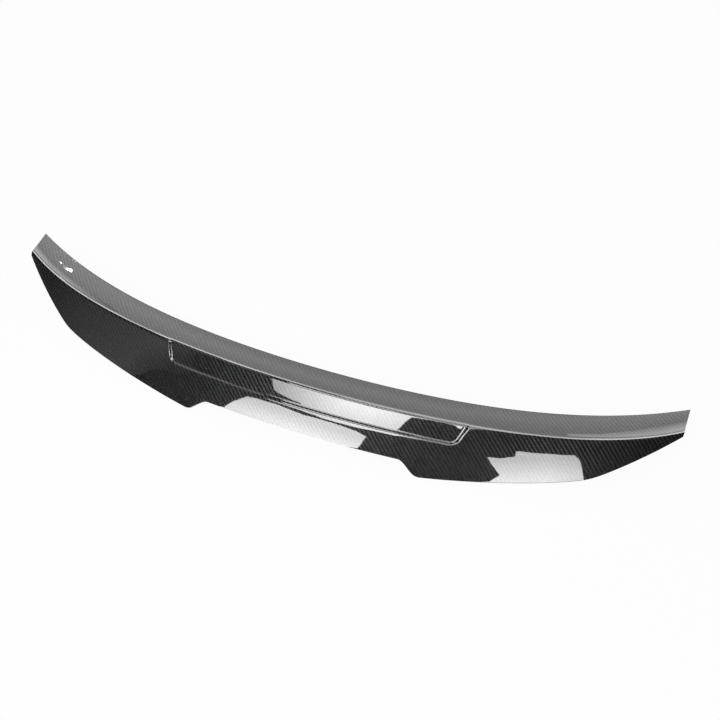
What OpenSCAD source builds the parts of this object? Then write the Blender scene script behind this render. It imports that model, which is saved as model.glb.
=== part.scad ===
// Ducktail spoiler for a car's boot lid, one moulded shell.
// Millimetres. X runs across the car, Y points to the front of the car, Z is up.
// The zero point is the middle of the front edge, on the face that sits on the lid.
// The shell is one surface with a true wall under it: a front band that rises to a lip,
// and a rear face that rolls down from the lip over the edge of the lid.

/* [Overall] */
// Width from tip to tip, measured at the front edge
span_w = 1180; // [700:10:1500]
// How far the tips lie ahead of the middle
sweep_d = 123; // [40:1:200]
// How far the front edge falls from the middle to the tips
tip_drop = 4; // [0:0.5:12]
// Thickness of the moulded wall
wall_t = 2.5; // [1.5:0.1:3]

/* [Front band] */
// Depth of the band from the front edge to the lip, at the middle
band_d = 48; // [38:1:90]
// Angle at which the band rises to the lip
band_rise = 9.6; // [4:0.2:24]
// How much the band is hollowed between its edges
band_sag = 0.8; // [0:0.1:2]
// Radius of the rounded front edge
lead_r = 4; // [3.4:0.1:8]
// Length over which the lip is rounded, each side of its peak
lip_soft = 4; // [3:0.1:5]

/* [Rear face] */
// Angle at which the rear face falls from the lip
face_slope = 42; // [30:1:60]
// How much the rear face bulges between its edges
face_bulge = 2.6; // [0:0.1:6]
// Length of the rear face at the inner ends of the wings
wing_len = 99.8; // [84:0.2:140]
// Length of the rear face at the knee, where the lower edge turns up to the tip
knee_len = 67; // [50:0.5:80]
// How far out the knee lies, as a share of the half width
knee_at = 0.788; // [0.7:0.002:0.85]
// How softly the lower edge bends at the knee
knee_soft = 5; // [1:0.5:12]
// Length of the rear face at the tips
tip_len = 8; // [7.5:0.5:20]

/* [Centre notch] */
// Length of the rear face inside the notch
notch_len = 76; // [60:1:82]
// Width of the notch where it is narrowest
notch_w = 330; // [200:5:360]
// Width of each slanted side of the notch
notch_side_w = 40; // [28:1:50]

/* [Sunk panel] */
// Width of the sunk panel at the lip
panel_top_w = 530; // [480:5:600]
// Width of the sunk panel at its lower edge
panel_low_w = 501; // [460:1:510]
// Length of the sunk panel below the lip
panel_len = 37.5; // [26:0.5:40]
// Depth of the sunk panel at its lower edge
panel_depth = 1.8; // [0.8:0.1:4]
// Depth of the sunk panel at the lip
panel_lip_depth = 1.5; // [0.3:0.1:2]
// Width of the slanted sides of the sunk panel
panel_side_w = 8.5; // [4:0.5:11]
// Width of the slanted lower side of the sunk panel
panel_step_w = 7.5; // [4:0.5:12]
// Radius of the lower corners of the sunk panel
panel_corner_r = 13; // [6:1:16]

/* [Tips] */
// How far the tip cut leans inward per millimetre toward the rear
tip_toe = 0.08; // [0:0.01:0.15]
// Thickness of the wall that closes each tip
tip_wall_t = 2.5; // [1.5:0.1:4]

/* [Hidden] */
half_w = span_w / 2;
k = half_w / 590;
steps_arc = 5;
steps_lip = 6;
// rows on the band, as shares of its depth
band_rows = [0.15, 0.4, 0.65, 0.85];
// rows on the rear face beside the panel, as shares of the panel's length
step_in = 1 - panel_step_w / panel_len;
up_rows = concat([for (i = [1 : 5]) step_in * i / 5], [for (i = [1 : 3]) mix(step_in, 1, i / 3)]);
// rows on the rear face below the panel, as shares of the rest
low_rows = [0.2, 0.4, 0.6, 0.8, 1];
row_n = steps_arc + 1 + len(band_rows) + steps_lip + 1 + len(up_rows) + len(low_rows);
row_band = steps_arc + 1;
row_lip = row_band + len(band_rows);
row_up = row_lip + steps_lip + 1;
row_low = row_up + len(up_rows);

function mix(a, b, f) = a + (b - a) * f;
function clamp(v, a, b) = min(max(v, a), b);
function ease(f) = f * f * (3 - 2 * f);
function t_of(x) = pow(x / half_w, 2);

// front edge and lip, as curves over the width
function lead_y(x) = sweep_d * (0.654 * t_of(x) + 0.346 * pow(t_of(x), 2));
function lead_z(x) = -tip_drop * t_of(x);
function lip_shape(t) = 0.628 * t + 0.087 * t * t + 0.285 * pow(t, 3);
function lip_y(x) = -band_d + 0.982 * sweep_d * lip_shape(t_of(x));
function lip_z(x) = lead_z(x) + 0.6 * lead_r + (lead_y(x) - lip_y(x)) * tan(band_rise);

// length of the rear face, first without the notch, then with it: one straight run from the notch
// to the knee, and a second one from the knee to the tip
wing_x = 200 * k;
tip_x = half_w - 4.5 * k;
knee_x = knee_at * half_w;
function soft_min(a, b, s) = (a + b - norm([a - b, s])) / 2;
function run_in(x) = mix(wing_len, knee_len, (abs(x) - wing_x) / (knee_x - wing_x));
function run_out(x) = mix(knee_len, tip_len, (abs(x) - knee_x) / (tip_x - knee_x));
function wing_run(x) = soft_min(soft_min(wing_len + 1.5, run_in(x), 3), run_out(x), knee_soft);
function wing(x) = max(tip_len - 0.5, wing_run(x));
function notch_f(x) = clamp((abs(x) - notch_w / 2) / notch_side_w, 0, 1);
function face_len(x) = mix(min(notch_len, wing(x)), wing(x), ease(notch_f(x)));

// how deep the sunk panel lies at a place: 0 outside, 1 on its floor
panel_lean = (panel_top_w - panel_low_w) / 2 / panel_len;
function side_gap(x, d) = (panel_top_w / 2 - panel_lean * d - abs(x)) / panel_side_w;
function low_gap(d) = (panel_len - d) / panel_step_w;
function corner_gap(a, b, r) = (a < r && b < r) ? r - norm([r - a, r - b]) : min(a, b);
corner_share = 2 * panel_corner_r / (panel_side_w + panel_step_w);
function panel_gap(x, d) = corner_gap(side_gap(x, d), low_gap(d), corner_share);
function panel_in(x, d) = ease(clamp(panel_gap(x, d), 0, 1));
function panel_floor(d) = mix(panel_lip_depth, panel_depth, clamp(d / (panel_len - panel_step_w), 0, 1));
function panel_drop(x, d) = panel_floor(d) * panel_in(x, d);

// points on the outer surface
face_dir = [0, -cos(face_slope), -sin(face_slope)];
face_out = [0, -sin(face_slope), cos(face_slope)];
band_dir = [0, -cos(band_rise), sin(band_rise)];
function peak(x) = [x, lip_y(x), lip_z(x)];
function bulge(x, d) = 4 * face_bulge * pow(wing(x) / wing_len, 1.5) * (d / wing(x)) * (1 - d / wing(x));
function face_pt(x, d) = peak(x) + d * face_dir + (bulge(x, d) - panel_drop(x, d)) * face_out;
function lead_pt(x, a) = [x, lead_y(x) - lead_r + lead_r * cos(a), lead_z(x) + lead_r * sin(a)];
function sag_at(g) = [0, 0, -4 * band_sag * g * (1 - g)];
function band_end(x) = peak(x) - lip_soft * band_dir - 0.5 * panel_drop(x, 0) * face_out;
function band_pt(x, g) = mix(lead_pt(x, 90), band_end(x), g) + sag_at(g);
function lip_top(x) = peak(x) - panel_drop(x, 0) * face_out;
function lip_pt(x, g) = mix(mix(band_end(x), lip_top(x), g), mix(lip_top(x), face_pt(x, lip_soft), g), g);

// columns: each segment between two named places is cut into even parts
seg_n = [8, 6, 4, 4, 24];
notch_half = notch_w / 2;
notch_end = notch_half + notch_side_w;
side_top = panel_top_w / 2;
side_low = panel_low_w / 2;
// the columns lean a little, wider over the notch and narrower below the panel
lean_far = 12 * k;
lean_near = 8 * k;
lean_rest = lean_far - lean_near;
seg_top = [0, notch_half + lean_far, notch_end + lean_near, side_top - panel_side_w, side_top, half_w];
seg_mid = [0, notch_half + lean_near, notch_end + lean_rest, side_low - panel_side_w, side_low, half_w];
seg_low = [0, notch_half, notch_end, side_low - panel_side_w - lean_near, side_low - lean_near, half_w];
function spread(s, f) = s == 4 ? 1 - pow(1 - f, 1.35) : f;
cols_half = [for (s = [0 : 4]) for (i = [1 : seg_n[s]]) [s, spread(s, i / seg_n[s])]];
last_c = len(cols_half) - 1;
function col_x(c, kn, tip) = mix(kn[c[0]], c[0] == 4 ? tip : kn[c[0] + 1], c[1]);
tip_in = (lead_y(half_w) - lip_y(half_w)) * tip_toe;
tip_low = tip_in + tip_toe * tip_len * cos(face_slope);
function tip_at(r) =
    r < row_band ? half_w :
    r < row_lip ? mix(half_w, half_w - tip_in, band_rows[r - row_band]) :
    r < row_up ? half_w - tip_in :
    mix(half_w - tip_in, half_w - tip_low, (r - row_up + 1) / (row_n - row_up));

// one point of the grid: side is -1, 0 or 1, c is the column, r the row, back shifts the tip inward
function low_x(c) = col_x(c, seg_low, half_w - tip_low);
function panel_part(c) = min(panel_len, mix(lip_soft, face_len(low_x(c)), 0.4));
function x_at(c, r, back) =
    let (tip = tip_at(r) - back)
    r < row_up ? col_x(c, seg_top, tip) :
    r < row_low ? mix(col_x(c, seg_top, tip), col_x(c, seg_mid, tip), up_rows[r - row_up]) :
    mix(col_x(c, seg_mid, tip), col_x(c, seg_low, tip), low_rows[r - row_low]);
function d_up(c, f) = mix(lip_soft, panel_part(c), f);
function d_at(c, r) =
    r < row_low ? d_up(c, up_rows[r - row_up]) :
    mix(panel_part(c), face_len(low_x(c)), low_rows[r - row_low]);
function skin_pt(x, c, r) =
    r < row_band ? lead_pt(x, 90 * r / steps_arc) :
    r < row_lip ? band_pt(x, band_rows[r - row_band]) :
    r < row_up ? lip_pt(x, (r - row_lip) / steps_lip) :
    face_pt(x, d_at(c, r));
function outer(s, c, r, back) = skin_pt(s * x_at(c, r, back), c, r);
// the lining lies one wall below the skin, measured square to the section, and stops short of the tips
function near_pt(s, c, r) = outer(s, c, clamp(r, 0, row_n - 1), tip_wall_t);
function along(s, c, r) = r == 0 ? [0, 0, -1] : near_pt(s, c, r - 1) - near_pt(s, c, r + 1);
function square(v) = [0, -v[2], v[1]] / norm([v[1], v[2]]);
function inner(s, c, r) = near_pt(s, c, r) - wall_t * square(along(s, c, r));

// all columns from the left tip to the right tip, and the same points one wall below
right = [for (c = cols_half) [1, c]];
left = [for (i = [last_c : -1 : 0]) [-1, cols_half[i]]];
cols = concat(left, [[0, [0, 0]]], right);
col_n = len(cols);
skin = [for (c = cols) for (r = [0 : row_n - 1]) outer(c[0], c[1], r, 0)];
lining = [for (c = cols) for (r = [0 : row_n - 1]) inner(c[0], c[1], r)];
// each tip is closed by a wall that ends on the line on which the shell sits
function seat(ring, r) =
    let (a = ring[0], b = ring[row_n - 1], f = (a[1] - ring[r][1]) / (a[1] - b[1]))
    [ring[r][0], ring[r][1], mix(a[2], b[2], f)];
function ring_of(pts, i) = [for (r = [0 : row_n - 1]) pts[i * row_n + r]];
function seats(pts, i) = let (ring = ring_of(pts, i)) [for (r = [0 : row_n - 1]) seat(ring, r)];
skin_seats = concat(seats(skin, 0), seats(skin, col_n - 1));
lining_seats = concat(seats(lining, 0), seats(lining, col_n - 1));

// numbers of the points, in the order skin, its two seats, lining, its two seats
half_set = (col_n + 2) * row_n;
function at(i, r) = i * row_n + r;
function edge_r(r) = r == 0 || r == row_n - 1;
function foot(e, r) = edge_r(r) ? at(e == 0 ? 0 : col_n - 1, r) : (col_n + e) * row_n + r;
function whole(t) = t[0] != t[1] && t[1] != t[2] && t[0] != t[2];
function two(a, b, c, d) = [for (t = [[a, c, b], [a, d, c]]) if (whole(t)) t];
skin_faces = [for (i = [0 : col_n - 2]) for (r = [0 : row_n - 2]) each
    two(at(i, r), at(i, r + 1), at(i + 1, r + 1), at(i + 1, r))];
left_end = [for (r = [0 : row_n - 2]) each two(at(0, r), foot(0, r), foot(0, r + 1), at(0, r + 1))];
right_end = [for (r = [0 : row_n - 2]) each
    two(at(col_n - 1, r + 1), foot(1, r + 1), foot(1, r), at(col_n - 1, r))];
outside = concat(skin_faces, left_end, right_end);
inside = [for (f = outside) [half_set + f[0], half_set + f[2], half_set + f[1]]];
function strip(a, b) = two(a, b, half_set + b, half_set + a);
front_rim = [for (i = [0 : col_n - 2]) each strip(at(i, 0), at(i + 1, 0))];
rear_rim = [for (i = [0 : col_n - 2]) each strip(at(i + 1, row_n - 1), at(i, row_n - 1))];
left_rim = [for (r = [0 : row_n - 2]) each strip(foot(0, r + 1), foot(0, r))];
right_rim = [for (r = [0 : row_n - 2]) each strip(foot(1, r), foot(1, r + 1))];

module moulded_shell() {
    polyhedron(
        points = concat(skin, skin_seats, lining, lining_seats),
        faces = concat(outside, inside, front_rim, rear_rim, left_rim, right_rim),
        convexity = 8
    );
}

module spoiler_shell() {
    color([0.08, 0.08, 0.09]) {
        moulded_shell();
    }
}

union() {
    spoiler_shell();
}
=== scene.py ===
# %% [markdown]
# # A ducktail spoiler in clear-coated carbon fibre
# This lesson dresses one moulded shell: a spoiler that is bonded over the rear edge of a boot lid.
# The frame that is loaded first is the measured solid. Everything that follows lies in the same
# place and the same size, in metres: X runs across the car, Y to its front, and Z is up.

# %% Load the measured solid
import bpy, math
import numpy as np
from mathutils import Matrix, Vector


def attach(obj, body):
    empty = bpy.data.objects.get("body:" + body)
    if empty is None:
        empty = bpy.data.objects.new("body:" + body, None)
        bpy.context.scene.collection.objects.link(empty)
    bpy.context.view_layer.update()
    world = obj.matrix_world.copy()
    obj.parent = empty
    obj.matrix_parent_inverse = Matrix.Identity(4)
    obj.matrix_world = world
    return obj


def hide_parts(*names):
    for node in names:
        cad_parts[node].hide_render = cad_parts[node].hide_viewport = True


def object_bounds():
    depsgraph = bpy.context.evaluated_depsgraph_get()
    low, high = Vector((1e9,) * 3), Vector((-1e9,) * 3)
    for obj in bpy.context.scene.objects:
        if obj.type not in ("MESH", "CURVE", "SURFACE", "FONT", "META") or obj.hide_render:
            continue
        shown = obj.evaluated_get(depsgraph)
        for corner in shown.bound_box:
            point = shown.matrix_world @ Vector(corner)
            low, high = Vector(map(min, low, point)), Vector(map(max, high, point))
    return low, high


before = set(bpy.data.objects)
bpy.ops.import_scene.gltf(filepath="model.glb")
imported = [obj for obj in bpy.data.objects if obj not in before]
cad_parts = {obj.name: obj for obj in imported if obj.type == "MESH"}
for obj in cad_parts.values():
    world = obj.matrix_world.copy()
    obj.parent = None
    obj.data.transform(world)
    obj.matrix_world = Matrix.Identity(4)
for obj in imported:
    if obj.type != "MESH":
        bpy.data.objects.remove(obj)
cad_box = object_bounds()
scene = bpy.context.scene
scene.view_settings.view_transform = "Standard"
print("solid box:", cad_box)

# %% [markdown]
# ## The camera
# The photographer stood behind the car's right corner and looked down steeply, from about a metre
# and a half away. The place and the lens come from fitting the spoiler's curves to the picture.

# %% Place the camera
CAM_AZ, CAM_EL, CAM_ROLL = 18.91, 54.15, 0.21
CAM_POS = Vector((0.3533, -0.8338, 1.2772))
CAM_FOCAL_PX = 941.7

def camera_matrix(az, el, roll, pos):
    a, e, r = (math.radians(v) for v in (az, el, roll))
    look = Vector((-math.sin(a) * math.cos(e), math.cos(a) * math.cos(e), -math.sin(e)))
    side = Vector((math.cos(a), math.sin(a), 0))
    up = side.cross(look)
    side, up = math.cos(r) * side + math.sin(r) * up, math.cos(r) * up - math.sin(r) * side
    m = Matrix((side, up, -look)).transposed().to_4x4()
    m.translation = pos
    return m

cam_data = bpy.data.cameras.new("camera")
cam = bpy.data.objects.new("camera", cam_data)
scene.collection.objects.link(cam)
cam.matrix_world = camera_matrix(CAM_AZ, CAM_EL, CAM_ROLL, CAM_POS)
cam_data.sensor_width = 36
cam_data.lens = 36 * CAM_FOCAL_PX / 720
cam_data.clip_start, cam_data.clip_end = 0.01, 50
scene.camera = cam
print("lens", round(cam_data.lens, 1), "mm")

# %% [markdown]
# ## The shape follows a rule
# A shell like this is drawn with a few curves: the front edge, the lip and the length of the rear
# face below the lip. Every other point follows from them. The same named sizes as in the solid are
# used here, so the fine surface lies exactly on it.

# %% Named sizes, in millimetres
SIZE = dict(
    span=1180.0, sweep=123.0, drop=4.0, wall=2.5, toe=0.08,
    # the band from the front edge to the lip
    band_d=48.0, rise=9.6, sag=0.8, lead_r=4.0, soft=4.0,
    # the rear face and the knee in the wings' lower edge
    slope=42.0, bulge=2.6, wing_len=99.8, tip_len=8.0,
    knee_len=67.0, knee_at=0.788, knee_soft=5.0,
    # the notch and the sunk panel
    notch_len=76.0, notch_w=330.0, notch_side=40.0,
    panel_top=530.0, panel_low=501.0, panel_len=37.5, panel_depth=1.8, panel_lip=1.5,
    panel_side=8.5, panel_step=7.5, panel_r=13.0)
MM = 1000                        # millimetres in a metre
HALF = SIZE["span"] / 2
RISE, SLOPE = math.radians(SIZE["rise"]), math.radians(SIZE["slope"])
DOWN = np.array([0, -math.cos(SLOPE), -math.sin(SLOPE)])
OUT = np.array([0, -math.sin(SLOPE), math.cos(SLOPE)])
BACK = np.array([0, -math.cos(RISE), math.sin(RISE)])
print("half width", HALF)

# %% The three guiding curves
LEAD_CURVE = (0.654, 0.346)                          # how the front edge's sweep grows outward
LIP_SWEEP, LIP_CURVE = 0.982, (0.628, 0.087, 0.285)  # the same for the lip, a little less
LIP_LIFT = 0.6                                       # of the front edge's radius
WING_X, WING_END = 200, 4.5                          # a wing's start, and its end short of the tip
WING_CAP, WING_SOFT, TIP_SLACK = 1.5, 3, 0.5         # bounds that keep its two ends smooth

def ease(f):
    return f * f * (3 - 2 * f)

def soft_min(a, b, s):
    """The smaller of two lengths, rounded off where they cross."""
    return (a + b - np.hypot(a - b, s)) / 2

def lead(x):
    """The front edge: how far ahead, and how high."""
    t = (x / HALF) ** 2
    return SIZE["sweep"] * (LEAD_CURVE[0] * t + LEAD_CURVE[1] * t * t), -SIZE["drop"] * t

def lip(x):
    """The lip's peak."""
    t = (x / HALF) ** 2
    c1, c2, c3 = LIP_CURVE
    y = -SIZE["band_d"] + LIP_SWEEP * SIZE["sweep"] * (c1 * t + c2 * t * t + c3 * t ** 3)
    ly, lz = lead(x)
    return y, lz + LIP_LIFT * SIZE["lead_r"] + (ly - y) * math.tan(RISE)

def wing(x):
    """Length of the rear face below the lip, without the notch: two straight runs and a knee."""
    x, knee = np.abs(x), SIZE["knee_at"] * HALF
    inner, middle, outer = SIZE["wing_len"], SIZE["knee_len"], SIZE["tip_len"]
    run_in = inner + (middle - inner) * (x - WING_X) / (knee - WING_X)
    run_out = middle + (outer - middle) * (x - knee) / (HALF - WING_END - knee)
    run = soft_min(soft_min(inner + WING_CAP, run_in, WING_SOFT), run_out, SIZE["knee_soft"])
    return np.maximum(outer - TIP_SLACK, run)

def face_len(x):
    """The same length with the notch in the middle."""
    f = ease(np.clip((np.abs(x) - SIZE["notch_w"] / 2) / SIZE["notch_side"], 0, 1))
    return np.minimum(SIZE["notch_len"], wing(x)) * (1 - f) + wing(x) * f

print("lip height at the middle and the tips:", round(lip(0.0)[1], 1), round(lip(HALF)[1], 1))

# %% The sunk panel
def panel_drop(x, d):
    """How deep the panel lies at a place: d is the distance below the lip."""
    lean = (SIZE["panel_top"] - SIZE["panel_low"]) / 2 / SIZE["panel_len"]
    a = (SIZE["panel_top"] / 2 - lean * d - np.abs(x)) / SIZE["panel_side"]
    b = (SIZE["panel_len"] - d) / SIZE["panel_step"]
    r = 2 * SIZE["panel_r"] / (SIZE["panel_side"] + SIZE["panel_step"])
    gap = np.where((a < r) & (b < r), r - np.hypot(r - a, r - b), np.minimum(a, b))
    foot = SIZE["panel_len"] - SIZE["panel_step"]
    deep = SIZE["panel_lip"] + (SIZE["panel_depth"] - SIZE["panel_lip"]) * np.clip(d / foot, 0, 1)
    return deep * ease(np.clip(gap, 0, 1))

print("panel depth at the lip and near its foot:",
      [round(float(panel_drop(0.0, d)), 2) for d in (0.0, SIZE["panel_len"] - SIZE["panel_step"])])

# %% Points of the outer surface
def stack(x, y, z):
    return np.stack([x, y, z], -1)

def peak(x):
    y, z = lip(x)
    return stack(x, y, z)

def face_pt(x, d):
    w = wing(x)
    b = 4 * SIZE["bulge"] * (w / SIZE["wing_len"]) ** 1.5 * (d / w) * (1 - d / w)
    return peak(x) + d[..., None] * DOWN + (b - panel_drop(x, d))[..., None] * OUT

def lead_pt(x, a):
    y, z = lead(x)
    r = SIZE["lead_r"]
    return stack(x, y - r + r * np.cos(a), z + r * np.sin(a))

def band_end(x):
    return peak(x) - SIZE["soft"] * BACK - 0.5 * panel_drop(x, 0 * x)[..., None] * OUT

def band_pt(x, g):
    a, b = lead_pt(x, math.pi / 2 + 0 * x), band_end(x)
    p = a + (b - a) * g[..., None]
    p[..., 2] -= 4 * SIZE["sag"] * g * (1 - g)
    return p

def lip_pt(x, g):
    a, b = band_end(x), peak(x) - panel_drop(x, 0 * x)[..., None] * OUT
    c = face_pt(x, SIZE["soft"] + 0 * x)
    g = g[..., None]
    return (1 - g) ** 2 * a + 2 * g * (1 - g) * b + g * g * c

print("peak of the lip at the middle:", np.round(peak(np.array(0.0)), 1))

# %% [markdown]
# ## A grid that follows the features
# The columns of the grid bend with the sides of the panel and of the notch, so each edge lies on a
# line of the mesh and stays crisp. The rows close up at the rounded front edge and at the lip.

# %% Columns and rows
N_COL = [34, 26, 16, 14, 110]   # columns in each stretch of one half, from the middle outward
TIP_CROWD = 1.35                # how much the last stretch closes up at the tip
half_notch, side = SIZE["notch_w"] / 2, SIZE["notch_side"]
LEAN_FAR, LEAN_NEAR = 12, 8     # the columns lean a little between the lip and the lower edge
top, low, ps = SIZE["panel_top"] / 2, SIZE["panel_low"] / 2, SIZE["panel_side"]
KNOT_TOP = [0, half_notch + LEAN_FAR, half_notch + side + LEAN_NEAR, top - ps, top, HALF]
KNOT_MID = [0, half_notch + LEAN_NEAR, half_notch + side + LEAN_FAR - LEAN_NEAR, low - ps, low, HALF]
KNOT_LOW = [0, half_notch, half_notch + side, low - ps - LEAN_NEAR, low - LEAN_NEAR, HALF]
seg = np.concatenate([np.full(n, i) for i, n in enumerate(N_COL)])
frac = np.concatenate([np.arange(1, n + 1) / n for n in N_COL])
frac = np.where(seg == 4, 1 - (1 - frac) ** TIP_CROWD, frac)

lip_y_tip, lead_y_tip = lip(HALF)[0], lead(HALF)[0]
TIP_IN = (lead_y_tip - lip_y_tip) * SIZE["toe"]
TIP_LOW = TIP_IN + SIZE["toe"] * SIZE["tip_len"] * math.cos(SLOPE)

def columns(knots, tip):
    k = np.array(knots, float)
    hi = np.where(seg == 4, tip, k[np.minimum(seg + 1, 5)])
    half = k[seg] + (hi - k[seg]) * frac
    return np.concatenate([-half[::-1], [0.0], half])

ARC = np.linspace(0, 1, 9)
BAND = np.linspace(0, 1, 18)[1:-1]
LIP = np.linspace(0, 1, 11)
step_in = 1 - SIZE["panel_step"] / SIZE["panel_len"]
UP = np.concatenate([np.linspace(0, step_in, 22)[1:], np.linspace(step_in, 1, 13)[1:]])
LOW = np.linspace(0, 1, 25)[1:]
PANEL_SHARE = 0.4               # of a short face that the panel's rows may take

rows = []
for a in ARC:
    rows.append(lead_pt(columns(KNOT_TOP, HALF), a * math.pi / 2))
for g in BAND:
    x = columns(KNOT_TOP, HALF - TIP_IN * g)
    rows.append(band_pt(x, g + 0 * x))
for g in LIP:
    x = columns(KNOT_TOP, HALF - TIP_IN)
    rows.append(lip_pt(x, g + 0 * x))
x_low = columns(KNOT_LOW, HALF - TIP_LOW)
full = face_len(x_low)
part = np.minimum(SIZE["panel_len"], SIZE["soft"] + PANEL_SHARE * (full - SIZE["soft"]))
for i, f in enumerate(UP):
    tip = HALF - TIP_IN - (TIP_LOW - TIP_IN) * (i + 1) / (len(UP) + len(LOW))
    x = columns(KNOT_TOP, tip) * (1 - f) + columns(KNOT_MID, tip) * f
    rows.append(face_pt(x, SIZE["soft"] + (part - SIZE["soft"]) * f))
for i, f in enumerate(LOW):
    tip = HALF - TIP_IN - (TIP_LOW - TIP_IN) * (i + 1 + len(UP)) / (len(UP) + len(LOW))
    x = columns(KNOT_MID, tip) * (1 - f) + columns(KNOT_LOW, tip) * f
    rows.append(face_pt(x, part + (full - part) * f))
grid = np.stack(rows)          # rows, columns, xyz, in millimetres
N_R, N_C = grid.shape[:2]
print("grid", N_R, "rows by", N_C, "columns")

# %% [markdown]
# ## How the cloth lies on the mould
# The weave is cloth that was laid over the mould in one piece, with its warp square to the car. On
# the rear face it lies flat, so it doesn't turn with the lip: towards the tips the lip runs away
# from it at a growing angle. Over the lip it follows the section. Each point gets its place on the
# flat cloth: the way across the car, and the way down from where the lip is at the middle.

# %% Cloth coordinates
lip_row = len(ARC) + len(BAND) + len(LIP) // 2
cloth_u = grid[:, :, 0].copy()
step_d = np.linalg.norm(np.diff(grid, axis=0), axis=2)
cloth_v = np.concatenate([np.zeros((1, N_C)), np.cumsum(step_d, axis=0)], axis=0)
cloth_v -= cloth_v[lip_row][None]
cloth_v += ((grid - peak(np.array(0.0))) @ DOWN)[lip_row][None]
print("cloth", round(float(np.ptp(cloth_u))), "by", round(float(np.ptp(cloth_v))), "mm")

# %% The skin as a mesh, with the two tips closed
SEAT_AT, SEAT_SHARE = [0, 1, N_R - 2, N_R - 1], [0, 0.08, 0.93, 1]
verts = list(map(tuple, grid.reshape(-1, 3) / MM))
uv = list(zip(cloth_u.ravel() / MM, cloth_v.ravel() / MM))
faces = []
for r in range(N_R - 1):
    for c in range(N_C - 1):
        a = r * N_C + c
        faces.append((a, a + N_C, a + N_C + 1, a + 1))

def close_tip(col, flip):
    """A wall from the end of the skin down to the line on which the shell sits."""
    ring = grid[:, col]
    f = np.interp(np.arange(N_R), SEAT_AT, SEAT_SHARE)
    seat = ring[0] + (ring[-1] - ring[0]) * f[:, None]
    seat[:, 0] = np.interp(-seat[:, 1], -ring[:, 1], ring[:, 0])
    ids = []
    for r in range(N_R):
        if r in (0, N_R - 1):
            ids.append(r * N_C + col)
            continue
        ids.append(len(verts))
        verts.append(tuple(seat[r] / MM))
        drop = math.copysign(ring[r, 2] - seat[r, 2], ring[r, 0])
        uv.append(((cloth_u[r, col] + drop) / MM, cloth_v[r, col] / MM))
    for r in range(N_R - 1):
        a, b, c, d = r * N_C + col, (r + 1) * N_C + col, ids[r + 1], ids[r]
        loop = [v for i, v in enumerate((a, b, c, d)) if v not in (a, b, c, d)[:i]]
        faces.append(tuple(loop if flip else loop[::-1]))

close_tip(0, False)
close_tip(N_C - 1, True)
print(len(verts), "points,", len(faces), "faces")

# %% [markdown]
# ## One wall, made from its skin
# The shell has the same wall everywhere, so only the skin is drawn. A node tree makes the rest: it
# copies the skin one wall inward as the lining, joins the two along the open edge, and gives each
# layer its finish. The wall could be typed in as a second surface, but then a change of thickness
# would mean drawing twice. The inward step uses the mean of the face normals round each point,
# divided by the square of its length, which keeps the wall even where two faces meet at an angle.

# %% Small helpers for node trees
def link(tree, a, b):
    tree.links.new(a, b)

def put(tree, kind, values=None, **settings):
    """A new node with its settings and its input values, or links for the inputs that are sockets."""
    n = tree.nodes.new(kind)
    for key, v in settings.items():
        setattr(n, key, v)
    for key, v in (values or {}).items():
        if isinstance(v, bpy.types.NodeSocket):
            link(tree, v, n.inputs[key])
        else:
            n.inputs[key].default_value = v
    return n

def calc(tree, op, *args):
    """One step of arithmetic in a tree, for a shader or for geometry."""
    n = tree.nodes.new("ShaderNodeMath")
    n.operation = op
    for i, v in enumerate(args):
        if isinstance(v, bpy.types.NodeSocket):
            link(tree, v, n.inputs[i])
        else:
            n.inputs[i].default_value = v
    return n.outputs[0]

print("helpers ready")

# %% The tree that turns a skin into a laminate
FINISHES = ("Skin finish", "Lining finish", "Edge finish")     # their places are the layers 0, 1 and 2
LEAST_SQUARE = 0.2              # keeps the inward step short where faces meet at a sharp angle
WELD = 1e-6                     # metres

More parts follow.
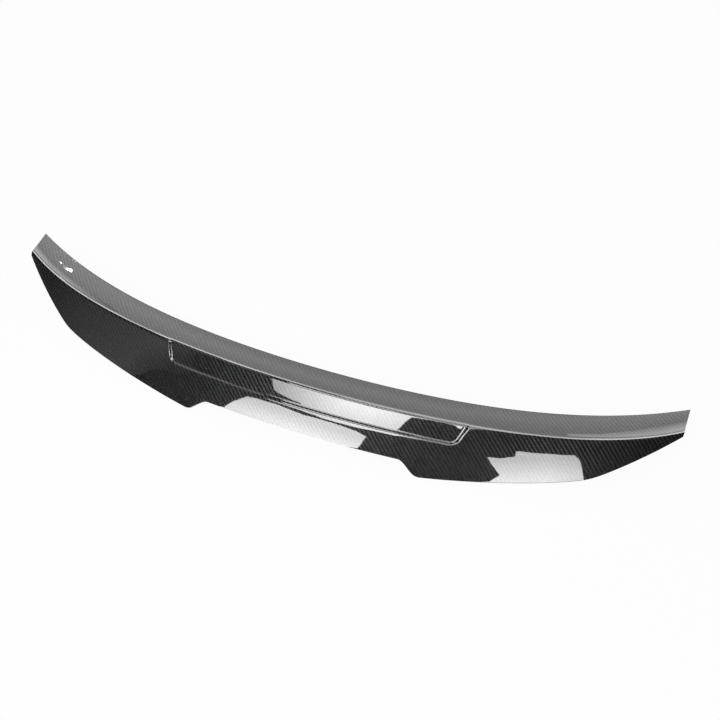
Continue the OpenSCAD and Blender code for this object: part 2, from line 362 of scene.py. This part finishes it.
def laminate_tree():
    t = bpy.data.node_groups.new("laminate", "GeometryNodeTree")
    sockets = t.interface
    sockets.new_socket("Geometry", in_out="INPUT", socket_type="NodeSocketGeometry")
    sockets.new_socket("Wall", in_out="INPUT", socket_type="NodeSocketFloat")
    for name in FINISHES:
        sockets.new_socket(name, in_out="INPUT", socket_type="NodeSocketMaterial")
    sockets.new_socket("Geometry", in_out="OUTPUT", socket_type="NodeSocketGeometry")
    start, end = put(t, "NodeGroupInput"), put(t, "NodeGroupOutput")
    # the mean face normal at each point, then the inward step
    on_face = put(t, "GeometryNodeCaptureAttribute", domain="FACE")
    on_face.capture_items.new("VECTOR", "face normal")
    link(t, start.outputs["Geometry"], on_face.inputs["Geometry"])
    link(t, put(t, "GeometryNodeInputNormal").outputs[0], on_face.inputs["face normal"])
    mean = on_face.outputs["face normal"]
    square = put(t, "ShaderNodeVectorMath", {0: mean, 1: mean}, operation="DOT_PRODUCT")
    square = calc(t, "MAXIMUM", square.outputs["Value"], LEAST_SQUARE)
    share = calc(t, "MULTIPLY", calc(t, "DIVIDE", start.outputs["Wall"], square), -1.0)
    step = put(t, "ShaderNodeVectorMath", {0: mean, "Scale": share}, operation="SCALE")
    on_point = put(t, "GeometryNodeCaptureAttribute", domain="POINT")
    on_point.capture_items.new("VECTOR", "inward")
    link(t, on_face.outputs["Geometry"], on_point.inputs["Geometry"])
    link(t, step.outputs[0], on_point.inputs["inward"])
    inward, skin = on_point.outputs["inward"], on_point.outputs["Geometry"]
    def in_layer(geometry, layer):
        """Writes on each face which layer of the shell it belongs to."""
        values = {"Geometry": geometry, "Name": "layer", "Value": layer}
        return put(t, "GeometryNodeStoreNamedAttribute", values, data_type="INT", domain="FACE").outputs[0]

    # the open edge: pull a strip from the skin's border to the lining
    beside = put(t, "GeometryNodeInputMeshEdgeNeighbors").outputs[0]
    border = put(t, "FunctionNodeCompare", {"A": beside, "B": 1.0}, data_type="FLOAT", operation="EQUAL")
    strip = put(t, "GeometryNodeExtrudeMesh", {
        "Mesh": skin, "Selection": border.outputs[0], "Offset Scale": 0.0}, mode="EDGES")
    pulled = put(t, "GeometryNodeSetPosition", {
        "Geometry": strip.outputs["Mesh"], "Selection": strip.outputs["Top"], "Offset": inward})
    side_layer = put(t, "GeometryNodeSwitch", {
        "Switch": strip.outputs["Side"], "False": 0, "True": 2}, input_type="INT")
    rim = in_layer(pulled.outputs[0], side_layer.outputs[0])
    # the lining: the skin moved inward and turned over
    moved = put(t, "GeometryNodeSetPosition", {"Geometry": skin, "Offset": inward})
    turned = put(t, "GeometryNodeFlipFaces", {"Mesh": moved.outputs[0]})
    lining = in_layer(turned.outputs[0], 1)
    both = put(t, "GeometryNodeJoinGeometry")
    link(t, rim, both.inputs[0])
    link(t, lining, both.inputs[0])
    closed = put(t, "GeometryNodeMergeByDistance", {"Geometry": both.outputs[0], "Distance": WELD})
    out = put(t, "GeometryNodeRealizeInstances", {"Geometry": closed.outputs[0]}).outputs[0]
    layer = put(t, "GeometryNodeInputNamedAttribute", {"Name": "layer"}, data_type="INT").outputs[0]
    for i, name in enumerate(FINISHES):
        same = put(t, "FunctionNodeCompare", {"A": layer, "B": i}, data_type="INT", operation="EQUAL")
        out = put(t, "GeometryNodeSetMaterial", {"Geometry": out, "Selection": same.outputs[0],
                                                 "Material": start.outputs[name]}).outputs[0]
    link(t, out, end.inputs["Geometry"])
    return t

laminate = laminate_tree()
print("laminate tree:", len(laminate.nodes), "nodes")

# %% [markdown]
# ## The twill cloth
# The skin is a two-by-two twill: each tow passes over two and under two, one step along in every
# row, so slanted ribs run across the part. The pattern is worked out from the cloth coordinates. A
# tow is two millimetres wide, as in most cloth of this kind. The crown of each tow and the arch of
# each float go into the bump, so the ribs flash under a lamp. The two directions also get painted
# tones, one lighter than the other: a painted sheen, as both are the same fibre.

# %% The weave as a node group
TOW = 0.00205                    # metres
TURN = math.radians(1.6)         # how far the cloth is turned on the mould
CROWN_POWER = 2.6                # how flat a tow lies between its two sides
ARCH_SHARE, CROWN_SHARE = 0.45, 0.55
THIN, LONG = 16.0, 0.6           # filaments in a tow, and how seldom they change along it

def weave_group():
    t = bpy.data.node_groups.new("twill weave", "ShaderNodeTree")
    t.interface.new_socket("Warp", in_out="OUTPUT", socket_type="NodeSocketFloat")
    t.interface.new_socket("Height", in_out="OUTPUT", socket_type="NodeSocketFloat")
    t.interface.new_socket("Fibre", in_out="OUTPUT", socket_type="NodeSocketFloat")
    end = put(t, "NodeGroupOutput")
    uv = put(t, "ShaderNodeSeparateXYZ", {0: put(t, "ShaderNodeUVMap", uv_map="cloth").outputs[0]})
    u, v = uv.outputs[0], uv.outputs[1]
    ca, sa = math.cos(TURN) / TOW, math.sin(TURN) / TOW
    a = calc(t, "ADD", calc(t, "MULTIPLY", u, ca), calc(t, "MULTIPLY", v, sa))
    b = calc(t, "SUBTRACT", calc(t, "MULTIPLY", v, ca), calc(t, "MULTIPLY", u, sa))
    i, j = calc(t, "FLOOR", a), calc(t, "FLOOR", b)
    fa, fb = calc(t, "SUBTRACT", a, i), calc(t, "SUBTRACT", b, j)
    q = calc(t, "FLOORED_MODULO", calc(t, "SUBTRACT", i, j), 4.0)
    warp = calc(t, "LESS_THAN", q, 1.5)

    def crown(f):
        """1 on the middle of a tow and 0 at its sides."""
        s = calc(t, "MULTIPLY_ADD", f, 2.0, -1.0)
        return calc(t, "SUBTRACT", 1.0, calc(t, "POWER", calc(t, "ABSOLUTE", s), CROWN_POWER))

    def arch(r):
        """1 on the middle of a float and 0 where it dives under the next tow."""
        return calc(t, "COSINE", calc(t, "MULTIPLY", r, math.pi / 2))

    over_warp = calc(t, "WRAP", calc(t, "SUBTRACT", i, b), 2.0, -2.0)
    over_weft = calc(t, "SUBTRACT", calc(t, "ADD", q, fa), 3.0)
    h_warp, h_weft = (calc(t, "MULTIPLY_ADD", arch(r), ARCH_SHARE, calc(t, "MULTIPLY", crown(f), CROWN_SHARE))
                      for r, f in ((over_warp, fa), (over_weft, fb)))
    height = put(t, "ShaderNodeMix", {"Factor": warp, "A": h_weft, "B": h_warp}, data_type="FLOAT")
    # single filaments: a noise drawn out along the tow that lies on top
    along_b = put(t, "ShaderNodeCombineXYZ", {0: calc(t, "MULTIPLY", a, THIN), 1: calc(t, "MULTIPLY", b, LONG)})
    along_a = put(t, "ShaderNodeCombineXYZ", {0: calc(t, "MULTIPLY", a, LONG), 1: calc(t, "MULTIPLY", b, THIN),
                                              2: 9.0})
    way = put(t, "ShaderNodeMix", {
        "Factor": warp, 4: along_a.outputs[0], 5: along_b.outputs[0]}, data_type="VECTOR")
    fibre = put(t, "ShaderNodeTexNoise", {"Vector": way.outputs[1], "Scale": 1.0, "Detail": 2.0})
    link(t, warp, end.inputs["Warp"])
    link(t, height.outputs[0], end.inputs["Height"])
    link(t, fibre.outputs[0], end.inputs["Fibre"])
    return t

weave = weave_group()
print("weave group:", len(weave.nodes), "nodes")

# %% [markdown]
# ## Three finishes
# The outside is the twill under a thick polished clear coat: the coat mirrors the lamps sharply,
# and the fibres below it give soft, darker flashes. The inside is the same laminate as it leaves
# the mould, with a dull resin face. The cut edge is sanded and shows fine layers.

# %% Clear-coated twill
def new_material(name):
    m = bpy.data.materials.new(name)
    m.use_nodes = True
    t = m.node_tree
    t.nodes.clear()
    shader = put(t, "ShaderNodeBsdfPrincipled")
    link(t, shader.outputs[0], put(t, "ShaderNodeOutputMaterial").inputs[0])
    return m, t, shader

def noise(t, scale, detail):
    """A noise that lies still on the part."""
    where = put(t, "ShaderNodeTexCoord").outputs["Object"]
    return put(t, "ShaderNodeTexNoise", {"Vector": where, "Scale": scale, "Detail": detail}).outputs[0]

def relief(t, height, depth, socket):
    """A bump as deep as given, in metres."""
    bump = put(t, "ShaderNodeBump", {"Strength": 1.0, "Distance": depth, "Height": height})
    link(t, bump.outputs[0], socket)

def cloth_colour(t, cloth, weft_tone, warp_tone, shade):
    """Two painted tones for the two directions of the cloth, a painted sheen, with a little of each filament
    and of each place.
    """
    mixed = put(t, "ShaderNodeMix", {"Factor": cloth.outputs["Warp"], 6: (*weft_tone, 1), 7: (*warp_tone, 1)},
                data_type="RGBA")
    place = noise(t, 14.0, 3.0)
    fibre = calc(t, "MULTIPLY_ADD", cloth.outputs["Fibre"], 0.7, 0.65 - shade / 2)
    lift = calc(t, "MULTIPLY_ADD", place, shade, fibre)
    scaled = put(t, "ShaderNodeVectorMath", {0: mixed.outputs[2], "Scale": lift}, operation="SCALE")
    return scaled.outputs[0]

coated, t, shader = new_material("clear_coated_twill")
cloth = put(t, "ShaderNodeGroup", node_tree=weave)
# painted sheen: the weft is painted about five times lighter than the warp, though both are the same fibre
colour = cloth_colour(t, cloth, (0.0182, 0.0182, 0.0191), (0.0034, 0.0034, 0.0036), 0.25)
link(t, colour, shader.inputs["Base Color"])
across = put(t, "ShaderNodeTangent", direction_type="UV_MAP", uv_map="cloth")
link(t, across.outputs[0], shader.inputs["Tangent"])
link(t, calc(t, "MULTIPLY_ADD", cloth.outputs["Warp"], -0.25, 0.25), shader.inputs["Anisotropic Rotation"])
shader.inputs["Anisotropic"].default_value = 0.9
fine = calc(t, "MULTIPLY_ADD", cloth.outputs["Fibre"], 0.06, cloth.outputs["Height"])
relief(t, fine, 0.00012, shader.inputs["Normal"])
relief(t, noise(t, 60.0, 1.0), 0.00002, shader.inputs["Coat Normal"])   # a polished coat is never quite flat
shader.inputs["Metallic"].default_value = 0.28
shader.inputs["Roughness"].default_value = 0.34
shader.inputs["Specular IOR Level"].default_value = 0.05
shader.inputs["Coat Weight"].default_value = 1.0
shader.inputs["Coat Roughness"].default_value = 0.02
shader.inputs["Coat IOR"].default_value = 1.5
print("outside finish ready")

# %% Raw laminate for the inside
raw, t, shader = new_material("raw_laminate")
cloth = put(t, "ShaderNodeGroup", node_tree=weave)
# painted sheen: here the warp is painted lighter than the weft, though both are the same fibre
colour = cloth_colour(t, cloth, (0.024, 0.025, 0.026), (0.036, 0.037, 0.039), 0.5)
link(t, colour, shader.inputs["Base Color"])
grain = noise(t, 900.0, 3.0)
rough = put(t, "ShaderNodeMapRange", {0: grain, 3: 0.42, 4: 0.68})
link(t, rough.outputs[0], shader.inputs["Roughness"])
resin = calc(t, "MULTIPLY_ADD", grain, 0.5, calc(t, "MULTIPLY", cloth.outputs["Height"], 0.8))
relief(t, resin, 0.00014, shader.inputs["Normal"])
print("inside finish ready")

# %% Sanded edge
sanded, t, shader = new_material("sanded_edge")
scratch = noise(t, 2200.0, 3.0)
tone = put(t, "ShaderNodeMix", {"Factor": scratch, 6: (0.018, 0.018, 0.019, 1), 7: (0.075, 0.075, 0.078, 1)},
           data_type="RGBA")
link(t, tone.outputs[2], shader.inputs["Base Color"])
relief(t, scratch, 0.00006, shader.inputs["Normal"])
shader.inputs["Roughness"].default_value = 0.5
print("edge finish ready")

# %% [markdown]
# ## The shell
# The skin goes through the tree, the cut edges get a small round, and the result is kept as a
# plain mesh. The cloth coordinates travel with it as its UV map.

# %% Build the shell
EDGE_ROUND = 0.0009                                     # metres
ROUNDED_FROM, SHARP_FROM = math.radians(60), math.radians(38)
skin_mesh = bpy.data.meshes.new("skin")
skin_mesh.from_pydata(verts, [], faces)
skin_mesh.materials.append(coated)
cloth_map = skin_mesh.uv_layers.new(name="cloth")
corner = np.empty(len(skin_mesh.loops), np.int32)
skin_mesh.loops.foreach_get("vertex_index", corner)
cloth_map.data.foreach_set("uv", np.array(uv, np.float32)[corner].ravel())
draft = bpy.data.objects.new("skin", skin_mesh)
scene.collection.objects.link(draft)
nodes_mod = draft.modifiers.new("laminate", "NODES")
nodes_mod.node_group = laminate
ids = {s.name: s.identifier for s in laminate.interface.items_tree if s.in_out == "INPUT"}
nodes_mod[ids["Wall"]] = SIZE["wall"] / MM
for name, finish in zip(FINISHES, (coated, raw, sanded)):
    nodes_mod[ids[name]] = finish
round_mod = draft.modifiers.new("edge round", "BEVEL")
round_mod.width, round_mod.segments = EDGE_ROUND, 3
round_mod.limit_method, round_mod.angle_limit = "ANGLE", ROUNDED_FROM
plain = bpy.data.meshes.new_from_object(draft.evaluated_get(bpy.context.evaluated_depsgraph_get()))
bpy.data.objects.remove(draft)
plain.name = "spoiler_laminate"

# a round can stand a hair proud at a sharp corner, so it is held inside the solid's box
place = np.empty(len(plain.vertices) * 3)
plain.vertices.foreach_get("co", place)
place = np.clip(place.reshape(-1, 3), np.array(cad_box[0]), np.array(cad_box[1]))
plain.vertices.foreach_set("co", place.ravel())
plain.polygons.foreach_set("use_smooth", np.ones(len(plain.polygons), bool))
plain.set_sharp_from_angle(angle=SHARP_FROM)
shell = bpy.data.objects.new("spoiler_laminate", plain)
scene.collection.objects.link(shell)
index = np.empty(len(plain.polygons), np.int32)
plain.polygons.foreach_get("material_index", index)
print(len(plain.polygons), "faces:", {m.name: int((index == i).sum()) for i, m in enumerate(plain.materials)})

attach(shell, "root")
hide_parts("spoiler_shell")

# %% [markdown]
# ## The studio
# Black gloss has almost no colour of its own: it shows the room. So the light is split, as a
# product photographer does it. Soft lamps give everything a plain, even light. Lit cards, which
# only reflections see, stand where the picture's reflections call for them. Dark flags stand all
# round behind them, so what no card reaches stays black.

# %% Floor and background
FLOOR_HALF, FLOOR_GAP = 14.0, 0.0006
FLOOR_SHARE = 0.95              # how much of the floor a camera or a mirror sees as background

def seen_directly(t):
    """1 for rays that see the background itself, past the camera, a gloss or a clear piece."""
    rays = put(t, "ShaderNodeLightPath")
    some = calc(t, "MAXIMUM", rays.outputs["Is Camera Ray"], rays.outputs["Is Glossy Ray"])
    return calc(t, "MAXIMUM", some, rays.outputs["Is Transmission Ray"])

floor_z = min(v.co.z for v in plain.vertices) - FLOOR_GAP
floor_mesh = bpy.data.meshes.new("floor")
corners = ((-1, -1), (1, -1), (1, 1), (-1, 1))
floor_mesh.from_pydata([(x * FLOOR_HALF, y * FLOOR_HALF, floor_z) for x, y in corners], [], [(0, 1, 2, 3)])
floor = bpy.data.objects.new("floor", floor_mesh)
scene.collection.objects.link(floor)

pale = bpy.data.materials.new("pale_floor")
pale.use_nodes = True
t = pale.node_tree
t.nodes.clear()
matte = put(t, "ShaderNodeBsdfDiffuse", {"Color": (0.82, 0.82, 0.82, 1)})
white = put(t, "ShaderNodeEmission", {"Color": (1, 1, 1, 1), "Strength": 1.0})
share = calc(t, "MULTIPLY", seen_directly(t), FLOOR_SHARE)
both = put(t, "ShaderNodeMixShader", {0: share, 1: matte.outputs[0], 2: white.outputs[0]})
link(t, both.outputs[0], put(t, "ShaderNodeOutputMaterial").inputs[0])
floor_mesh.materials.append(pale)

world = bpy.data.worlds.new("studio")
scene.world = world
world.use_nodes = True
t = world.node_tree
t.nodes.clear()
room = put(t, "ShaderNodeBackground", {"Color": (0.3, 0.3, 0.31, 1), "Strength": 1.0})
white = put(t, "ShaderNodeBackground", {"Color": (1, 1, 1, 1), "Strength": 1.0})
both = put(t, "ShaderNodeMixShader", {0: seen_directly(t), 1: room.outputs[0], 2: white.outputs[0]})
link(t, both.outputs[0], put(t, "ShaderNodeOutputWorld").inputs[0])
print("floor at", round(floor_z, 4))

# %% Things that only reflections see
def glowing(name, glow):
    """A material that shines as strongly as glow says."""
    m = bpy.data.materials.new(name)
    m.use_nodes = True
    tree = m.node_tree
    tree.nodes.clear()
    lit = put(tree, "ShaderNodeEmission", {"Color": (1, 1, 1, 1), "Strength": glow})
    link(tree, lit.outputs[0], put(tree, "ShaderNodeOutputMaterial").inputs[0])
    return m, tree, lit

def in_mirrors(name, points, faces, material):
    mesh = bpy.data.meshes.new(name)
    mesh.from_pydata(points, [], faces)
    mesh.materials.append(material)
    o = bpy.data.objects.new(name, mesh)
    scene.collection.objects.link(o)
    o.visible_camera = o.visible_diffuse = o.visible_shadow = o.visible_transmission = False

def flag_ring(name, radius, low, high, shade, n=48):
    """A dark wall all round with a dark lid, open below."""
    turn = [2 * math.pi * i / n for i in range(n)]
    points = [(radius * math.cos(a), radius * math.sin(a), z) for z in (low, high) for a in turn]
    wall = [(i, (i + 1) % n, n + (i + 1) % n, n + i) for i in range(n)]
    in_mirrors(name, points, wall + [tuple(range(2 * n - 1, n - 1, -1))], glowing(name, shade)[0])

flag_ring("dark_flags", 5.0, -0.5, 5.0, 0.045)
print("flags stand")

# %% Where a lamp or a card stands
CENTRE = Vector((0, -0.03, -0.02))

def stand(az, el, reach):
    """A place round the part and the axes of a panel that faces it. Azimuth 0 is behind the car."""
    a, e = math.radians(az), math.radians(el)
    way = Vector((math.sin(a) * math.cos(e), -math.cos(a) * math.cos(e), math.sin(e)))
    up = (Vector((0, 0, 1)) - way * way.z).normalized()
    side = up.cross(way)
    return CENTRE + way * reach, side, up, way

REAR_LEFT, REAR_RIGHT, FAR_LEFT = (-15, 24, 2.2), (23.5, 24, 2.2), (-51, 20, 2.3)
FRONT, FRONT_NEAR, FRONT_SPOT = (180, 36, 2.6), (180, 36, 2.55), (180, 36, 2.5)
ABOVE = (0, 90, 2.3)
print("overhead cards hang at", [round(c, 2) for c in stand(*ABOVE)[0]])

# %% [markdown]
# ## The cards
# Each card has an outline in metres, across (u) and up (v) on its own plane, and a glow. A fade
# dims it along one of the two: an axis, two places on it, and the share of the glow at each. The
# outlines are what the bright patches in the picture look like when they are thrown back from the
# shell's surface, which is why the corners are cut as they are.

# %% Cards behind the car, for the patches on the rear face
def card(name, spot, glow, outline, *fades):
    place, side, up, _ = stand(*spot)
    m, tree, lit = glowing(name, glow)
    share = glow
    for axis, at0, at1, share0, share1 in fades:
        axis = side if axis == "u" else up
        here = put(tree, "ShaderNodeTexCoord").outputs["Object"]
        along = put(tree, "ShaderNodeVectorMath", {0: here, 1: axis}, operation="DOT_PRODUCT")
        start = place.dot(axis)
        run = put(tree, "ShaderNodeMapRange", {0: along.outputs["Value"], 1: start + at0, 2: start + at1,
                                               3: share0, 4: share1})
        share = calc(tree, "MULTIPLY", run.outputs[0], share)
        link(tree, share, lit.inputs["Strength"])
    in_mirrors(name, [place + side * u + up * v for u, v in outline], [tuple(range(len(outline)))], m)

card("rear_left_low", REAR_LEFT, 20.5,
     [(-0.47, -0.5), (0.38, -0.5), (0.38, 0.44), (0.3, 0.48), (0.18, 0.49), (0.07, 0.48), (-0.03, 0.45),
      (-0.22, 0.46), (-0.33, 0.43), (-0.4, 0.4), (-0.45, 0.2), (-0.47, 0.08)],
     ("v", 0.14, 0.38, 1.0, 0.73), ("u", -0.42, -0.05, 0.84, 1.0))
card("rear_left_high", REAR_LEFT, 21,
     [(-0.3, 0.66), (-0.25, 0.62), (-0.1, 0.59), (-0.04, 0.53), (0.07, 0.51), (0.18, 0.53), (0.29, 0.55),
      (0.4, 0.6), (0.52, 0.66), (0.53, 0.95), (0.56, 1.15), (0.61, 1.36), (0.7, 1.45), (0.77, 1.36),
      (0.82, 1.25), (0.86, 1.08), (0.92, 1.05), (0.95, 1.5), (0.35, 1.5), (0.3, 1.27), (-0.42, 1.2),
      (-0.4, 0.95), (-0.36, 0.84)],
     ("u", -0.3, 0.12, 0.46, 1.0), ("v", 0.6, 0.9, 0.82, 1.0), ("u", 0.3, 0.55, 1.0, 0.85))
card("rear_right_card", REAR_RIGHT, 19,
     [(-0.1, -0.5), (0.82, -0.5), (0.77, -0.19), (0.67, 0.29), (0.63, 0.38), (0.37, 0.46), (0.15, 0.52),
      (0.14, 0.41), (0.03, 0.37), (-0.06, 0.39), (-0.03, 0.25), (0.03, 0.04), (0.01, -0.01), (-0.03, -0.08)],
     ("v", -0.08, 0.35, 1.0, 0.63), ("u", 0.4, 0.7, 1.0, 0.8))
print("cards behind the car: 3")

# %% Cards in front of the car, for the band and the two tips
card("front_card", FRONT, 3.1,
     [(-1.3, -0.8), (2.3, -0.8), (2.3, 0.8), (-1.3, 0.8)],
     ("v", -0.08, 0.3, 0.7, 1.0), ("v", 0.38, 0.62, 1.0, 0.8))
card("left_tip_card", FRONT_NEAR, 7.2,
     [(1.4, -0.6), (2.2, -0.6), (2.2, 0.12), (1.66, 0.06), (1.55, 0.04), (1.48, 0.02), (1.4, -0.04)],
     ("v", -0.12, 0.04, 1.0, 0.3), ("u", 1.42, 1.56, 0.25, 1.0))
card("left_lip_card", FRONT_NEAR, 11,
     [(1.5, 0.42), (3.2, 0.42), (3.2, 1.6), (1.6, 1.6)],
     ("v", 0.42, 0.62, 0.28, 1.0))
card("right_tip_card", FRONT_NEAR, 6.2,
     [(-1.3, -0.6), (-0.3, -0.6), (-0.34, -0.08), (-0.46, -0.07), (-0.5, -0.04), (-0.6, 0.0), (-1.3, 0.1)],
     ("v", -0.2, 0.04, 1.0, 0.35))
card("right_lip_card", FRONT_NEAR, 11,
     [(-1.8, 0.42), (-0.55, 0.42), (-0.6, 1.6), (-1.8, 1.6)],
     ("v", 0.42, 0.62, 0.28, 1.0))
print("cards in front: 5")

# %% Cards overhead, for the line along the lip and the panel's slanted edges
card("lip_card", ABOVE, 14,
     [(-3.2, 1.0), (-1.45, 1.0), (-1.4, 0.6), (-1.05, 0.6), (-1.0, 0.3), (-0.4, 0.3), (-0.35, 0.0), (0.5, 0.0),
      (0.56, 0.36), (1.0, 0.4), (1.05, 0.5), (2.4, 0.5), (2.4, 3.2), (0.7, 2.8), (0.4, 2.2), (0.1, 1.8),
      (-1.2, 1.8), (-1.5, 2.6), (-1.8, 3.4), (-3.2, 3.4)],
     ("u", -1.1, -0.55, 1.0, 0.68), ("u", 0.55, 1.0, 1.0, 1.4))
card("lip_low_card", ABOVE, 6, [(-0.5, -0.32), (0.45, -0.32), (0.45, 0.02), (-0.5, 0.02)],
     ("u", -0.55, -0.2, 0.4, 1.0))
card("strip_card", ABOVE, 13, [(-0.75, -1.3), (-0.03, -1.12), (-0.03, -0.72), (-0.72, -0.72)])
card("strip_right_card", ABOVE, 7,
     [(-0.03, -1.1), (0.1, -1.1), (0.1, -1.35), (0.2, -1.3), (0.5, -1.3), (0.5, -0.72), (-0.03, -0.72)])
card("small_left_card", ABOVE, 2.0, [(-1.5, -0.8), (-0.82, -0.8), (-0.82, -0.4), (-1.5, -0.4)])
card("small_right_card", ABOVE, 2.0, [(0.08, -0.72), (0.45, -0.72), (0.45, -0.4), (0.08, -0.4)])
print("cards overhead: 6")

# %% Two small lamps on the left end of the band, and the grey light at the far left
card("lamp_dot", FRONT_SPOT, 60, [(1.657, 0.148), (1.664, 0.169), (1.654, 0.153), (1.647, 0.132)])
card("lamp_oblong", FRONT_SPOT, 60, [(1.613, 0.108), (1.636, 0.16), (1.637, 0.2), (1.613, 0.153)])
card("left_fill_card", FAR_LEFT, 0.75,
     [(-1.5, -0.7), (0.1, -0.7), (0.2, -0.3), (0.26, -0.1), (0.28, 0.1), (0.35, 0.26), (0.46, 0.43),
      (0.39, 0.59), (0.29, 0.8), (0.25, 0.95), (-1.5, 0.95)],
     ("u", -1.0, 0.1, 0.1, 1.0), ("u", 0.1, 0.35, 1.0, 0.25))
print("cards at the left end: 3")

# %% Lamps for everything that isn't a mirror
def softbox(name, az, el, reach, width, height, power):
    place, side, up, way = stand(az, el, reach)
    lamp = bpy.data.lights.new(name, "AREA")
    lamp.shape, lamp.size, lamp.size_y = "RECTANGLE", width, height
    lamp.energy = power
    o = bpy.data.objects.new(name, lamp)
    scene.collection.objects.link(o)
    o.location = place
    o.rotation_mode = "QUATERNION"
    o.rotation_quaternion = way.to_track_quat("Z", "Y")
    o.visible_camera = o.visible_glossy = False

softbox("key_box", -25, 48, 2.4, 1.6, 1.2, 30)
softbox("side_box", 50, 40, 2.4, 1.2, 1.2, 12)
softbox("front_box", 180, 45, 2.6, 2.0, 1.2, 14)
